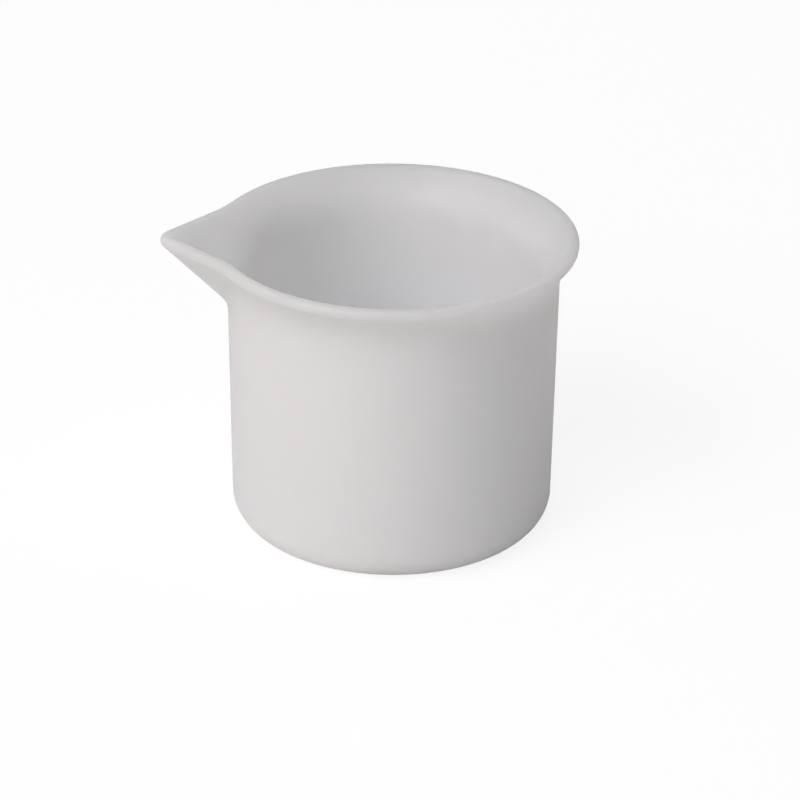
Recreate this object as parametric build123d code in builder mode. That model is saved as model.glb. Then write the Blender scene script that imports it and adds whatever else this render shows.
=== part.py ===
from build123d import *
import os
from math import atan, cos, radians, sin, tan

# A small resin mixing cup, moulded in one piece from milky silicone rubber.
# Millimetres. The origin is the middle of the flat underside, +Z runs up the cup's axis,
# and the pouring spout points along -X. XZ is the mirror plane.

# Driving dimensions of the cup, measured on its outside
cup_height = 49.0            # table to the top of the lip
base_diameter = 51.5         # the side wall's line carried down to the table
wall_draft = 0.8             # degrees that the side wall opens upwards
flare_width = 2.88           # how far the rim stands out from the top of the side wall
flare_angle = 42.5           # of the flare, from the upright, in degrees
flare_bend = 8.0             # radius where the side wall bends out into the flare
bottom_corner = 4.7          # radius where the side wall turns under to the base

# Driving thicknesses of the rubber
wall = 2.0                   # of the flare and the spout, up to the lip
side_wall = 3.0              # of the side wall below them
floor_thickness = 2.5

# Driving dimensions of the spout, measured on its outside
spout_length = 7.5           # how far its tip stands out from the rim
keel_angle = 46.0            # of its lower edge, from the upright, in degrees
spout_half_angle = 47.0      # of its straight sides, from the mirror plane, in degrees
spout_tip_radius = 2.6       # round its point, seen from above
spout_root = 4.0             # radius where it grows out of the cup

# Shares of the sizes that they follow
lip_round_share = 0.97       # of half the wall, so that the lip's two rounds just fail to meet
flank_share = 0.9            # of the way from the point to where a flank is nearest the axis
keel_end_share = 0.75        # of the base radius, where the keel's lower end is buried

# Slopes, as sideways travel for each unit of rise
wall_slope = tan(radians(wall_draft))
flare_slope = tan(radians(flare_angle))
keel_slope = tan(radians(keel_angle))
half_angle = radians(spout_half_angle)
flank_slope = keel_slope * sin(half_angle)

base_radius = base_diameter / 2
lip_round = lip_round_share * wall / 2


def sharp_reach(reach, angle):
    """How far the lip would reach if its underside ran on to a sharp top edge."""
    return reach - lip_round + lip_round * tan(radians(45 + angle / 2))


# The underside of the flare runs on to a sharp edge at the cup's full height
flare_rise = sharp_reach(flare_width, flare_angle) / flare_slope
neck_height = cup_height - flare_rise
neck_radius = base_radius + wall_slope * neck_height
rim_radius = neck_radius + flare_width
rim_edge = sharp_reach(rim_radius, flare_angle)
tip_edge = sharp_reach(rim_radius + spout_length, keel_angle)

# The spout is drawn at the lip and runs down its keel until it is buried in the cup
keel_drop = (tip_edge - keel_end_share * base_radius) / keel_slope
keel_direction = (keel_slope, 0, -1)
keel_length = keel_drop / cos(radians(keel_angle))


def level_inset(inset, slope):
    """Sideways distance, at one height, between a sloping face and its inset copy."""
    return inset / cos(atan(slope))


def cup_form(inset, side_inset, bottom, corner):
    """The cup filled solid, with its faces set in from the outside by the two insets."""
    wall_foot = base_radius - level_inset(side_inset, wall_slope)
    flare_edge = rim_edge - level_inset(inset, flare_slope)
    neck = cup_height - (flare_edge - wall_foot - wall_slope * cup_height) / (flare_slope - wall_slope)
    corner_point = (wall_foot + wall_slope * bottom, bottom)
    neck_point = (wall_foot + wall_slope * neck, neck)
    with BuildSketch(Plane.XZ) as half_section:
        with BuildLine():
            Polyline(
                (0, bottom),
                corner_point,
                neck_point,
                (flare_edge, cup_height),
                (0, cup_height),
                close=True,
            )
        make_face()
        fillet(half_section.vertices().sort_by_distance(corner_point)[0], corner)
        fillet(half_section.vertices().sort_by_distance(neck_point)[0], flare_bend)

    # From above, the spout is a point with straight flanks and a rounded nose
    point_per_nose = 1 / sin(half_angle) - 1
    outer_point = tip_edge + spout_tip_radius * point_per_nose
    point = outer_point - level_inset(inset, flank_slope) / sin(half_angle)
    nose = (point - tip_edge + level_inset(inset, keel_slope)) / point_per_nose
    flank = flank_share * point * cos(half_angle)
    flank_end = (flank * cos(half_angle) - point, flank * sin(half_angle))
    with BuildSketch(Plane.XY.offset(cup_height)) as spout_plan:
        with BuildLine():
            Polyline((-point, 0), flank_end, (flank_end[0], -flank_end[1]), close=True)
        make_face()
        fillet(spout_plan.vertices().sort_by(Axis.X)[0], nose)

    with BuildPart() as form:
        revolve(half_section.sketch, axis=Axis.Z)
        extrude(spout_plan.sketch, amount=keel_length, dir=keel_direction)
        fillet(form.edges(Select.NEW), spout_root)
    return form.part


# The hollow has the outside's form, set in by the thickness of the rubber
outside = cup_form(0, 0, 0, bottom_corner)
hollow = cup_form(wall, side_wall, floor_thickness, bottom_corner - wall)

with BuildPart() as cup:
    add(outside)
    add(hollow, mode=Mode.SUBTRACT)
    # The flat top of the wall becomes a full round, first outside and then inside
    fillet(cup.faces().sort_by(Axis.Z)[-1].outer_wire().edges(), lip_round)
    fillet(cup.faces().sort_by(Axis.Z)[-1].inner_wires()[0].edges(), lip_round)
cup.part.label = "cup"

cubic_mm_per_ml = 1000
print(f"rim {2 * rim_radius:.2f} mm, length {2 * rim_radius + spout_length:.2f} mm")
print(f"holds {hollow.volume / cubic_mm_per_ml:.0f} ml when full to the brim")

os.makedirs("parts", exist_ok=True)
export_step(cup.part, "parts/cup.step")
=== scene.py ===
# %% [markdown]
# A small resin mixing cup, cast in one piece from milky silicone rubber. This notebook dresses
# its CAD model for a studio picture. The whole cup is one moulding, so there is one piece to
# make, and nearly all its looks come from a smooth, true shape and from light that soaks into
# the rubber. Blender works in metres. The cup stands on z = 0 with its axis on the z axis, and
# its spout points along -x.

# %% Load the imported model
from math import atan, cos, pi, radians, sin, tan

import bmesh
import bpy
from mathutils import Matrix, Vector


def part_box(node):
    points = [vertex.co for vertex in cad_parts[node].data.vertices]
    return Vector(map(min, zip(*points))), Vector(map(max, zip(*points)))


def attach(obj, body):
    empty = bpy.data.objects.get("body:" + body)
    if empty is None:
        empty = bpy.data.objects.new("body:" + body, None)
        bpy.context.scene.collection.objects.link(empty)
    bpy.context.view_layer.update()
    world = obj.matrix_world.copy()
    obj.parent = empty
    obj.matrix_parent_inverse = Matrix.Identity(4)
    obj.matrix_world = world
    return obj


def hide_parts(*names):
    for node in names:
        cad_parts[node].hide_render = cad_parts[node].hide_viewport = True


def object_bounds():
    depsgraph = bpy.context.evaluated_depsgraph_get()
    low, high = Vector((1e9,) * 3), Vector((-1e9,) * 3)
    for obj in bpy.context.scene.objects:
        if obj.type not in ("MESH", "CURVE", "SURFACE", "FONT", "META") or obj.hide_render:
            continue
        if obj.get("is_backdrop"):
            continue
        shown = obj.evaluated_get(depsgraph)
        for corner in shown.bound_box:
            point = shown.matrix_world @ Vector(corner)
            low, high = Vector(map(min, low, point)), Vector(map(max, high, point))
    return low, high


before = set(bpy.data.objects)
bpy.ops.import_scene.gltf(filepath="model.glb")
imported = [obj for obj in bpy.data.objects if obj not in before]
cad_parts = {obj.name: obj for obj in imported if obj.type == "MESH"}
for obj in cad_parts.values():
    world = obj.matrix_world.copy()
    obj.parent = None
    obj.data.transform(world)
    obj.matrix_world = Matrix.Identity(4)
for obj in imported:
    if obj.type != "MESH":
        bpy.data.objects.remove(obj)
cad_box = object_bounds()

mm = 0.001
cad_low, cad_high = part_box("cup")
cup_height = cad_high.z
rim_radius = cad_high.x
spout_tip = -cad_low.x
print(f"cup {cup_height / mm:.1f} mm high")
print(f"rim {rim_radius / mm:.2f} mm from the axis, spout's tip {spout_tip / mm:.2f} mm")

# %% [markdown]
# The camera comes first, so that every later choice can be judged in the picture's own frame.
# The picture is 800 pixels square and was taken from about 26 degrees above the table, almost
# square to the mirror plane of the cup. The distance sets how strongly near things swell: from
# 600 mm, with a long lens, the lip's two halves and the base show the picture's mild
# perspective. The lens follows from the scale of the cup in the picture.

# %% Camera
picture_width = 800              # pixels
cup_centre_px = (392.6, 373.5)   # where the middle of the cup's axis shows
pixels_per_mm = 6.232            # at that point
camera_distance = 600 * mm
camera_elevation = radians(26.08)
camera_swing = radians(1.51)     # the camera stands this far towards -x from straight in front
camera_roll = radians(0.54)
sensor_width = 36                # mm


def aim_camera():
    """A camera that puts the middle of the cup's axis on its pixel, at the picture's scale."""
    data = bpy.data.cameras.new("studio_camera")
    data.sensor_width = sensor_width
    data.lens = sensor_width * pixels_per_mm * camera_distance / mm / picture_width
    forward = Vector((
        sin(camera_swing) * cos(camera_elevation),
        cos(camera_swing) * cos(camera_elevation),
        -sin(camera_elevation),
    ))
    level_right = forward.cross(Vector((0, 0, 1))).normalized()
    right = cos(camera_roll) * level_right + sin(camera_roll) * level_right.cross(forward)
    up = right.cross(forward)
    middle = Vector((0, 0, cup_height / 2))
    place = middle - camera_distance * forward
    # The picture's own centre is the point to look at, a little off the cup's middle
    across, down = ((picture_width / 2 - pixel) / pixels_per_mm * mm for pixel in cup_centre_px)
    look = (middle + across * right - down * up - place).normalized()
    side = look.cross(up).normalized()
    axes = Matrix((side, side.cross(look), -look)).transposed()
    camera = bpy.data.objects.new("studio_camera", data)
    camera.matrix_world = Matrix.Translation(place) @ axes.to_4x4()
    bpy.context.collection.objects.link(camera)
    bpy.context.scene.camera = camera
    print(f"lens {data.lens:.1f} mm at {camera_distance / mm:.0f} mm")


aim_camera()

# %% [markdown]
# Node trees are built by one helper that adds a node, applies its settings and fills or links
# its inputs. Long sums are easier to read as sums, so a small class stands for a number that
# flows through a tree: adding or multiplying two of them puts the Math node there.

# %% Helpers for node trees
def add_node(tree, kind, inputs=(), **settings):
    """Adds a node. Its inputs, by order or by name, are values or other nodes' outputs."""
    node = tree.nodes.new(kind)
    for name, value in settings.items():
        setattr(node, name, value)
    for key, value in inputs.items() if isinstance(inputs, dict) else enumerate(inputs):
        value = getattr(value, "socket", value)
        if isinstance(value, bpy.types.NodeSocket):
            tree.links.new(value, node.inputs[key])
        else:
            node.inputs[key].default_value = value
    return node


class Number:
    """A number that flows through a node tree, with Python's arithmetic."""

    def __init__(self, socket):
        self.socket = socket

    def apply(self, operation, *others):
        node = add_node(self.socket.id_data, "ShaderNodeMath", (self, *others), operation=operation)
        return Number(node.outputs[0])

    def __add__(self, other):
        return self.apply("ADD", other)

    def __sub__(self, other):
        return self.apply("SUBTRACT", other)

    def __mul__(self, other):
        return self.apply("MULTIPLY", other)

    def __truediv__(self, other):
        return self.apply("DIVIDE", other)


def new_group(name, inputs, outputs):
    """A geometry node group with named inputs and outputs, as its tree, its start and its end."""
    tree = bpy.data.node_groups.new(name, "GeometryNodeTree")
    for direction, sockets in (("INPUT", inputs), ("OUTPUT", outputs)):
        for label, kind in sockets.items():
            tree.interface.new_socket(label, in_out=direction, socket_type=f"NodeSocket{kind}")
    return tree, add_node(tree, "NodeGroupInput"), add_node(tree, "NodeGroupOutput")


# %% [markdown]
# The cup is a main piece whose shape follows a rule, so geometry nodes make it. Half of its
# section is drawn once, as a chain of points from the middle of the underside, up the outside,
# over the lip and down the hollow to the middle of the floor. The nodes turn that chain round
# the axis and draw the spout out of it. Sculpting the spout by hand would also work, but the
# rule keeps the wall as thick as on the solid model, and makes the inside of the spout follow
# its outside. The sizes are those of the solid model, and the box gives the overall ones.

# %% The cup's sizes
base_radius = 25.75 * mm         # the side wall's line carried down to the table
wall_slope = tan(radians(0.8))   # sideways for each unit of rise
flare_angle = radians(42.5)      # from the upright
flare_slope = tan(flare_angle)
flare_bend = 8.0 * mm            # radius where the side wall bends out into the flare
bottom_corner = 4.7 * mm
wall = 2.0 * mm                  # thickness of the flare and the spout
side_wall = 3.0 * mm             # thickness of the side wall below them
floor_thickness = 2.5 * mm
keel_slope = tan(radians(46.0))
half_angle = radians(47.0)       # of the spout's flanks, from the mirror plane
spout_tip_radius = 2.6 * mm      # round its point, seen from above
root_blend = 1.65 * mm           # how softly the spout grows out of the cup
lip_round = wall / 2             # the lip is a full round
lip_level = cup_height - lip_round


def sharp_reach(reach, slope):
    """How far the lip would reach if its underside ran on to a sharp top edge."""
    return reach - lip_round + lip_round * tan(pi / 4 + atan(slope) / 2)


def level_inset(inset, slope):
    """Sideways distance, at one height, between a sloping face and its inset copy."""
    return inset / cos(atan(slope))


rim_edge = sharp_reach(rim_radius, flare_slope)
tip_edge = sharp_reach(spout_tip, keel_slope)
print(f"sharp edges would reach {rim_edge / mm:.2f} mm at the rim, {tip_edge / mm:.2f} mm at the spout")

# %% [markdown]
# The chain of points is straight runs joined by tangent arcs, first for the outside and again
# further in for the hollow, with the lip's round between them. No picture shows a wall's inside,
# so the side wall's thickness is an estimate: with about 3 mm, the shading in the hollow comes
# a little closer to the picture than with 2 mm. Rows are close together only where the surface
# bends or where the spout grows out of it, so that the mesh stays light on the plain wall and
# smooth on the curves.

# %% Draw half of the section
plain_gap = 3.0 * mm             # between rows on the flat parts and the plain side wall
spout_gap = 0.36 * mm            # between rows where the spout grows out
bend_step = radians(4)
lip_steps = 22
lip_margin = radians(6)          # that the lip's round stops short of the skins on either side
spout_low = 32 * mm              # below this the side wall is plain


def rounded_chain(corners, radii, gaps):
    """Points along straight runs, where each inner corner is rounded by a tangent arc."""
    chain = [corners[0]]
    for number, gap in enumerate(gaps):
        start, end = chain[-1], corners[number + 1]
        radius = radii[number] if number < len(radii) else 0
        along = (end - start).normalized()
        if radius:
            away = (corners[number + 2] - end).normalized()
            turn = along.angle(away)
            end = end - along * radius * tan(turn / 2)
        count = max(1, round((end - start).length / gap))
        chain += [start.lerp(end, step / count) for step in range(1, count + 1)]
        if radius:
            inward = (away - along * away.dot(along)).normalized()
            steps = round(turn / bend_step)
            for angle in (turn * step / steps for step in range(1, steps + 1)):
                chain.append(end + radius * (sin(angle) * along + (1 - cos(angle)) * inward))
    return chain


def skin_rows(inset, side_inset, bottom, corner, top):
    """One skin of the section, from the axis out and up to a given height on the flare."""
    foot = base_radius - level_inset(side_inset, wall_slope)
    edge = rim_edge - level_inset(inset, flare_slope)
    neck = cup_height - (edge - foot - wall_slope * cup_height) / (flare_slope - wall_slope)
    corners = [
        Vector((0, bottom)),
        Vector((foot + wall_slope * bottom, bottom)),
        Vector((foot + wall_slope * spout_low, spout_low)),
        Vector((foot + wall_slope * neck, neck)),
        Vector((edge - flare_slope * (cup_height - top), top)),
    ]
    chain = rounded_chain(corners, [corner, 0, flare_bend], [plain_gap, plain_gap, spout_gap, spout_gap])
    return [(point, inset, 0, 0) for point in chain]


def lip_rows():
    """The lip's round: one place in the middle of the wall, and the turns of a radius about it."""
    first, last = lip_margin - flare_angle, pi - flare_angle - lip_margin
    middle = rim_edge - flare_slope * lip_round - level_inset(wall / 2, flare_slope)
    turns = [first + (last - first) * step / lip_steps for step in range(lip_steps + 1)]
    return [(Vector((middle, lip_level)), wall / 2, lip_round, turn) for turn in turns]


# Each skin stops just short of the height where the lip's round meets it
outside_top = lip_level - lip_round * sin(flare_angle + lip_margin)
hollow_top = lip_level + lip_round * sin(flare_angle - lip_margin)
outside_rows = skin_rows(0, 0, 0, bottom_corner, outside_top)
hollow_rows = skin_rows(wall, side_wall, floor_thickness, bottom_corner - wall, hollow_top)
section = outside_rows + lip_rows() + hollow_rows[::-1]
print(f"section of {len(section)} rows, {len(outside_rows)} outside and {len(hollow_rows)} in the hollow")

# %% [markdown]
# The spout is a wedge that leans out along its keel. Seen from above at any one height it is
# two straight flanks and a rounded nose, and the whole outline slides towards the axis as the
# height drops. This group answers one question: looking from the axis in a given direction, at
# a given height, how far out is the skin? That is the round cup or the wedge, whichever is
# further out, with a soft blend where they cross. The inset moves the wedge's faces in by that
# much, so that the same group gives the outside, the middle of the lip and the channel inside.

# %% The outline of the cup and its spout
spout_sizes = {
    "Cup height": cup_height,
    "Spout low": spout_low,
    "Tip edge": tip_edge,
    "Tip radius": spout_tip_radius,
    "Keel slope": keel_slope,
    "Half angle": half_angle,
    "Root blend": root_blend,
}


def outline_group():
    """Distance from the axis to the skin, in one direction and at one height."""
    labels = ("Turn", "Radius", "Height", "Inset", *spout_sizes)
    tree, start, end = new_group("cup_outline", dict.fromkeys(labels, "Float"), {"Radius": "Float"})
    turn, radius, height, inset, *sizes = (Number(start.outputs[label]) for label in labels)
    top, low, tip_edge, tip_radius, slope, half, blend = sizes
    turn = turn.apply("ABSOLUTE")
    sine, cosine = half.apply("SINE"), half.apply("COSINE")
    keel_lean = slope.apply("ARCTANGENT").apply("COSINE")
    flank_lean = (slope * sine).apply("ARCTANGENT").apply("COSINE")
    slide = (top - height) * slope
    # The sharp point where the flanks would meet, and the rounded nose that it becomes
    point_per_nose = sine.apply("POWER", -1) - 1
    point = tip_edge + tip_radius * point_per_nose - slide - inset / (flank_lean * sine)
    tip = tip_edge - slide - inset / keel_lean
    nose = (point - tip) / point_per_nose
    nose_centre = tip - nose
    # A flank runs on past the point where it is nearest the axis as a circle, hidden in the cup
    flank = point * sine / (half + turn).apply("MINIMUM", pi / 2).apply("SINE")
    across = nose_centre * turn.apply("SINE")
    half_chord = (nose * nose - across * across).apply("MAXIMUM", 0).apply("SQRT")
    round_nose = nose_centre * turn.apply("COSINE") + half_chord
    nose_end = (nose * cosine).apply("ARCTAN2", nose_centre + nose * sine)
    wedge = flank + turn.apply("LESS_THAN", nose_end) * (round_nose - flank)
    # The wedge counts only above the plain wall
    above = height.apply("GREATER_THAN", low)
    outline = radius.apply("SMOOTH_MAX", wedge * above, blend * above)
    tree.links.new(outline.socket, end.inputs["Radius"])
    return tree


# %% [markdown]
# The tree that makes the cup starts from a flat grid with a row for each point of the section
# and a column for each direction. Every grid point looks up its row's place, inset and turn on
# the lip, asks the group above how far out it stands, and goes there. On the lip it then steps
# off by the lip's radius, square to the outline, so that the lip is equally round on the rim,
# along the flanks and at the point of the spout. Columns are crowded towards the spout.

# %% Turn the section and draw out the spout
nudge = radians(0.2)             # either side of a column, to find the outline's own direction
seam_gap = 0.001 * mm            # points closer than this become one
carried_names = ("inset", "lip_radius", "lip_turn")


def cup_tree(outline):
    """The grid of rows and columns, laid on the cup."""
    inputs = {
        "Section": "Geometry",
        "Rows": "Int",
        "Columns": "Int",
        "Crowding": "Float",
        **dict.fromkeys(spout_sizes, "Float"),
        "Material": "Material",
    }
    tree, start, end = new_group("turned_cup", inputs, {"Geometry": "Geometry"})
    rows, columns, crowding = (Number(start.outputs[label]) for label in ("Rows", "Columns", "Crowding"))
    grid = add_node(tree, "GeometryNodeMeshGrid", {
        "Size X": 1.0,
        "Size Y": rows - 1,
        "Vertices X": columns + 1,
        "Vertices Y": rows,
    })
    position = add_node(tree, "GeometryNodeInputPosition").outputs[0]
    on_grid = add_node(tree, "ShaderNodeSeparateXYZ", [position])
    full_turn = Number(on_grid.outputs["X"]) * (2 * pi)
    turn = full_turn - full_turn.apply("SINE") * crowding
    row = Number(on_grid.outputs["Y"]) + rows / 2

    def of_row(kind, value):
        inputs = {"Geometry": start.outputs["Section"], "Value": value, "Index": row}
        return add_node(tree, "GeometryNodeSampleIndex", inputs, data_type=kind).outputs["Value"]

    def carried(name):
        attribute = add_node(tree, "GeometryNodeInputNamedAttribute", {"Name": name}, data_type="FLOAT")
        return Number(of_row("FLOAT", attribute.outputs["Attribute"]))

    place = add_node(tree, "ShaderNodeSeparateXYZ", [of_row("FLOAT_VECTOR", position)])
    inset, lip_radius, lip_turn = (carried(name) for name in carried_names)
    height = Number(place.outputs["Z"])

    def reach(direction):
        values = {label: start.outputs[label] for label in spout_sizes}
        values |= {"Turn": direction, "Radius": place.outputs["X"], "Height": height, "Inset": inset}
        return Number(add_node(tree, "GeometryNodeGroup", values, node_tree=outline).outputs[0])

    radius = reach(turn)
    growth = (reach(turn + nudge) - reach(turn - nudge)) / (2 * nudge)
    lean = growth.apply("ARCTAN2", radius)
    step_off = lip_radius * lip_turn.apply("COSINE")
    spoke = add_node(tree, "ShaderNodeCombineXYZ", [
        (radius + step_off * lean.apply("COSINE")) * -1,
        step_off * lean.apply("SINE"),
        height + lip_radius * lip_turn.apply("SINE"),
    ])
    spoke_turn = {"Vector": spoke.outputs[0], "Angle": turn}
    turned = add_node(tree, "ShaderNodeVectorRotate", spoke_turn, rotation_type="Z_AXIS")
    cup = add_node(tree, "GeometryNodeSetPosition", {
        "Geometry": grid.outputs["Mesh"],
        "Position": turned.outputs[0],
    })
    # The two edges of the grid meet behind the cup, and a whole row of points at each pole
    for kind, inputs in (
        ("GeometryNodeMergeByDistance", {"Distance": seam_gap}),
        ("GeometryNodeRealizeInstances", {}),
        ("GeometryNodeSetMaterial", {"Material": start.outputs["Material"]}),
    ):
        cup = add_node(tree, kind, {"Geometry": cup.outputs[0], **inputs})
    tree.links.new(cup.outputs[0], end.inputs["Geometry"])
    return tree


# %% [markdown]
# The tree needs the section as geometry, so that it can look its rows up. A mesh of edges does
# that: its points are the rows' places, and three named attributes carry what goes with each.

# %% Lay the section down as a mesh
def section_object():
    """The section as a mesh of edges, whose points carry their inset and their turn on the lip."""
    mesh = bpy.data.meshes.new("cup_section")
    points = [(row[0].x, 0, row[0].y) for row in section]
    mesh.from_pydata(points, [(number, number + 1) for number in range(len(points) - 1)], [])
    for column, name in enumerate(carried_names, 1):
        values = mesh.attributes.new(name, "FLOAT", "POINT").data
        values.foreach_set("value", [row[column] for row in section])
    piece = bpy.data.objects.new("mixing_cup", mesh)
    bpy.context.collection.objects.link(piece)
    return piece


# %% [markdown]
# The rubber is a platinum-cured silicone, poured into a polished mould. Uncoloured, it isn't
# clear but milky: light goes in, scatters and comes out some way off, which softens every
# shadow and lets a little light through the wall. A polished mould leaves a satin skin rather
# than a gloss. Subsurface scattering by random walk follows the light through the real
# thickness of the wall. Its distance and the roughness aren't measured values of the rubber:
# they are the ones, among a few tried, that come closest to the picture. The cure leaves faint
# clouds in the body, a centimetre or so across, and the skin waves very slightly, as soft
# rubber does when it has been pulled inside out. The mould's polishing marks are a few
# hundredths of a millimetre, too fine to show, so they are drawn 0.3 mm apart.

# %% Platinum-cured silicone rubber, satin from a polished mould
def linear(code):
    """An sRGB hex colour as linear red, green, blue and alpha."""
    channels = []
    for place in (1, 3, 5):
        share = int(code[place:place + 2], 16) / 255
        channels.append(((share + 0.055) / 1.055) ** 2.4 if share > 0.04045 else share / 12.92)
    return (*channels, 1)


cloud_size = 9 * mm
wave_size, wave_height = 7 * mm, 0.03 * mm
mark_size, mark_height = 0.3 * mm, 0.004 * mm
smooth, rough = 0.4, 0.5
silicone_ior = 1.41
scatter_distance = 20 * mm
scatter_shares = (1.0, 0.95, 0.9)    # of that distance, for red, green and blue light


def silicone_rubber():
    """The cup's material, with its pattern in millimetres on Object coordinates."""
    material = bpy.data.materials.new("platinum_silicone_rubber")
    material.use_nodes = True
    tree = material.node_tree
    tree.nodes.clear()
    place = add_node(tree, "ShaderNodeTexCoord").outputs["Object"]
    clouds = add_node(tree, "ShaderNodeTexNoise", {"Vector": place, "Scale": 1 / cloud_size, "Detail": 2.0})
    # A Mix node's inputs share their names, so its factor and two colours go by number
    tones = {0: clouds.outputs[0], 6: linear("#f5f5f5"), 7: linear("#f9f9f9")}
    tone = add_node(tree, "ShaderNodeMix", tones, data_type="RGBA")
    waves = add_node(tree, "ShaderNodeTexNoise", {"Vector": place, "Scale": 1 / wave_size, "Detail": 1.0})
    waviness = add_node(tree, "ShaderNodeBump", {
        "Strength": 1.0,
        "Distance": wave_height,
        "Height": waves.outputs[0],
    })
    marks = add_node(tree, "ShaderNodeTexNoise", {"Vector": place, "Scale": 1 / mark_size, "Detail": 2.0})
    skin = add_node(tree, "ShaderNodeBump", {
        "Strength": 1.0,
        "Distance": mark_height,
        "Height": marks.outputs[0],
        "Normal": waviness.outputs[0],
    })
    roughness = add_node(tree, "ShaderNodeMapRange", {
        "Value": waves.outputs[0],
        "To Min": smooth,
        "To Max": rough,
    })
    surface = add_node(tree, "ShaderNodeBsdfPrincipled", {
        "Base Color": tone.outputs[2],
        "Roughness": roughness.outputs[0],
        "IOR": silicone_ior,
        "Subsurface Weight": 1.0,
        "Subsurface Radius": scatter_shares,
        "Subsurface Scale": scatter_distance,
        "Normal": skin.outputs[0],
    })
    add_node(tree, "ShaderNodeOutputMaterial", [surface.outputs[0]])
    return material


# %% [markdown]
# The modifier's inputs are set by their identifiers, because two inputs may share a name. Once
# the tree has run, its result becomes a plain mesh and the modifier goes.

# %% Make the cup
columns = 480
column_crowding = 0.6


def make_cup():
    """The finished cup as one closed mesh."""
    piece = section_object()
    modifier = piece.modifiers.new("turned_cup", "NODES")
    modifier.node_group = cup_tree(outline_group())
    values = {
        "Rows": len(section),
        "Columns": columns,
        "Crowding": column_crowding,
        **spout_sizes,
        "Material": silicone_rubber(),
    }
    for item in modifier.node_group.interface.items_tree:
        if item.in_out == "INPUT" and item.name in values:
            modifier[item.identifier] = values[item.name]
    bpy.context.view_layer.update()
    evaluated = piece.evaluated_get(bpy.context.evaluated_depsgraph_get())
    piece.data = bpy.data.meshes.new_from_object(evaluated)
    piece.modifiers.clear()
    piece.data.shade_smooth()
    return piece


def describe(piece):
    """Prints what a closed mesh holds. A positive volume means that its faces point outwards."""
    solid = bmesh.new()
    solid.from_mesh(piece.data)
    open_edges = sum(not edge.is_manifold for edge in solid.edges)
    triangles = sum(len(face.verts) - 2 for face in solid.faces)
    volume = solid.calc_volume(signed=True) / mm**3
    solid.free()
    print(f"{piece.name}: {triangles} triangles, {open_edges} open edges, {volume:.0f} mm3")


mixing_cup = make_cup()
describe(mixing_cup)

# %% [markdown]
# The cup in the picture is pale grey on pure white, with hardly a shadow. A floor bright enough
# to look white would throw as much light up at the cup, and the rubber would wash out. So the
# card is matt white and lit like the cup, and only rays that come straight from the camera see
# it brightened, which a studio does afterwards by raising the white point. A faint shadow stays
# where the cup stands. The disc is wide and round, so that no edge or corner shows in a view
# from any side. The world behind it is brightened in the same way, and about half of that white
# also shows in the cup's reflections, as a white backdrop does, so that the rim's edge doesn't
# go dark. None of this brightening lights the rubber's body.

# %% Floor
floor_radius = 3.0
white_point = 0.8                # how far the camera sees the stage raised to white
floor_whiteness = 1.08
backdrop_whiteness = 1.11        # a little more, because no softbox lights it
backdrop_mirrored = 0.45         # how much of that white shows in the cup's reflections


def raise_to_white(tree, shader, output, whiteness, mirrored=0.0):
    """Mixes a stage shader with plain white, for the camera's own rays and for reflections."""
    rays = add_node(tree, "ShaderNodeLightPath").outputs
    seen = Number(rays["Is Camera Ray"]) * white_point + Number(rays["Is Glossy Ray"]) * mirrored
    white = add_node(tree, "ShaderNodeEmission" if output == "Material" else "ShaderNodeBackground", {
        "Color": linear("#ffffff"),
        "Strength": whiteness,
    })
    mixed = add_node(tree, "ShaderNodeMixShader", [seen, shader.outputs[0], white.outputs[0]])
    add_node(tree, f"ShaderNodeOutput{output}", [mixed.outputs[0]])


def make_floor():
    """A matt white disc under the cup."""
    mesh = bpy.data.meshes.new("studio_floor")
    disc = bmesh.new()
    bmesh.ops.create_circle(disc, cap_ends=True, segments=96, radius=floor_radius)
    disc.to_mesh(mesh)
    disc.free()
    floor = bpy.data.objects.new("studio_floor", mesh)
    bpy.context.collection.objects.link(floor)
    material = bpy.data.materials.new("matt_white_card")
    material.use_nodes = True
    material.node_tree.nodes.clear()
    card = add_node(material.node_tree, "ShaderNodeBsdfDiffuse", {"Color": linear("#f4f4f4")})
    raise_to_white(material.node_tree, card, "Material", floor_whiteness)
    mesh.materials.append(material)
    return floor


studio_floor = make_floor()

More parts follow.
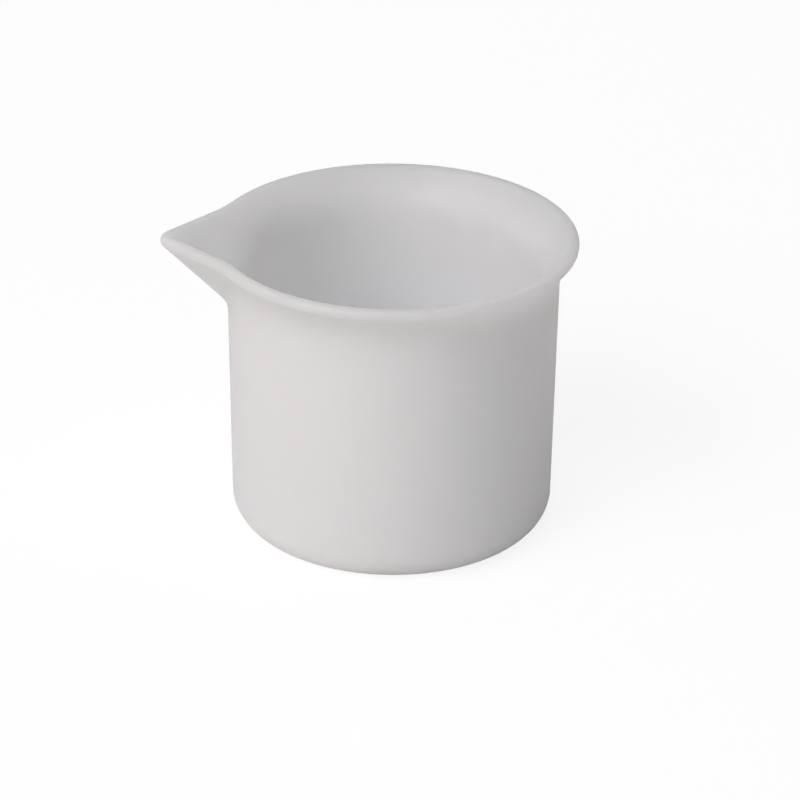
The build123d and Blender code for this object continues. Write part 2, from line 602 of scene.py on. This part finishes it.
# %% [markdown]
# The light is soft and comes mostly from the front, left and above: the outside of the cup is
# bright on the left and darkens to the right, and the hollow does the opposite. Two large
# softboxes do most of it, the one nearer the camera a little cooler than the one at the side. A
# weak warm one low in front stands for light that the table throws up. Three more behind the
# cup, one high and one at each shoulder, shine through the lip and the far wall. The world adds
# a trace. The powers and tints weren't guessed: each light was rendered alone, and the mix that
# comes close to the picture was solved for, with a pull towards white light.

# %% Studio light
softbox_distance = 2.0
softbox_size = 1.2
sky_strength = 0.005


def add_softbox(name, swing, elevation, color, power):
    """A square area light that faces the cup. It swings round from the camera's side towards +x."""
    data = bpy.data.lights.new(name, "AREA")
    data.size = softbox_size
    data.energy = power
    data.color = linear(color)[:3]
    lamp = bpy.data.objects.new(name, data)
    swing, elevation = radians(swing), radians(elevation)
    away = Vector((sin(swing) * cos(elevation), -cos(swing) * cos(elevation), sin(elevation)))
    place = Vector((0, 0, cup_height / 2)) + softbox_distance * away
    lamp.matrix_world = Matrix.Translation(place) @ away.to_track_quat("Z", "Y").to_matrix().to_4x4()
    bpy.context.collection.objects.link(lamp)


add_softbox("key_front_left", -30, 42, "#e8f1ff", 16.6)
add_softbox("key_left", -60, 42, "#fff1ef", 14.5)
add_softbox("low_front_left", -30, 15, "#ffe4b6", 6.7)
add_softbox("top_back", 180, 68, "#f8fcff", 5.3)
add_softbox("rim_back_right", 135, 42, "#fff0e7", 5.6)
add_softbox("rim_back_left", -135, 42, "#e4fff4", 2.5)


def light_world():
    """A weak even light from all round, seen as white behind the floor."""
    world = bpy.data.worlds.new("studio_world")
    bpy.context.scene.world = world
    world.use_nodes = True
    world.node_tree.nodes.clear()
    sky = add_node(world.node_tree, "ShaderNodeBackground", {
        "Color": linear("#ffffff"),
        "Strength": sky_strength,
    })
    raise_to_white(world.node_tree, sky, "World", backdrop_whiteness, backdrop_mirrored)
    bpy.context.scene.view_settings.view_transform = "Standard"


light_world()

# %% [markdown]
# The cup is one rigid body in the motion model, root, and the new skin stands for its CAD
# solid, which stays hidden for collision.

# %% Ride on the frame
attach(mixing_cup, "root")
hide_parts("cup")
studio_floor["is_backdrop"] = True

# %% Print both boxes
boxes = {"cad": cad_box, "visual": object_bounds()}
for name, (low, high) in boxes.items():
    print(name, [round(value / mm, 2) for value in (*low, *high)])
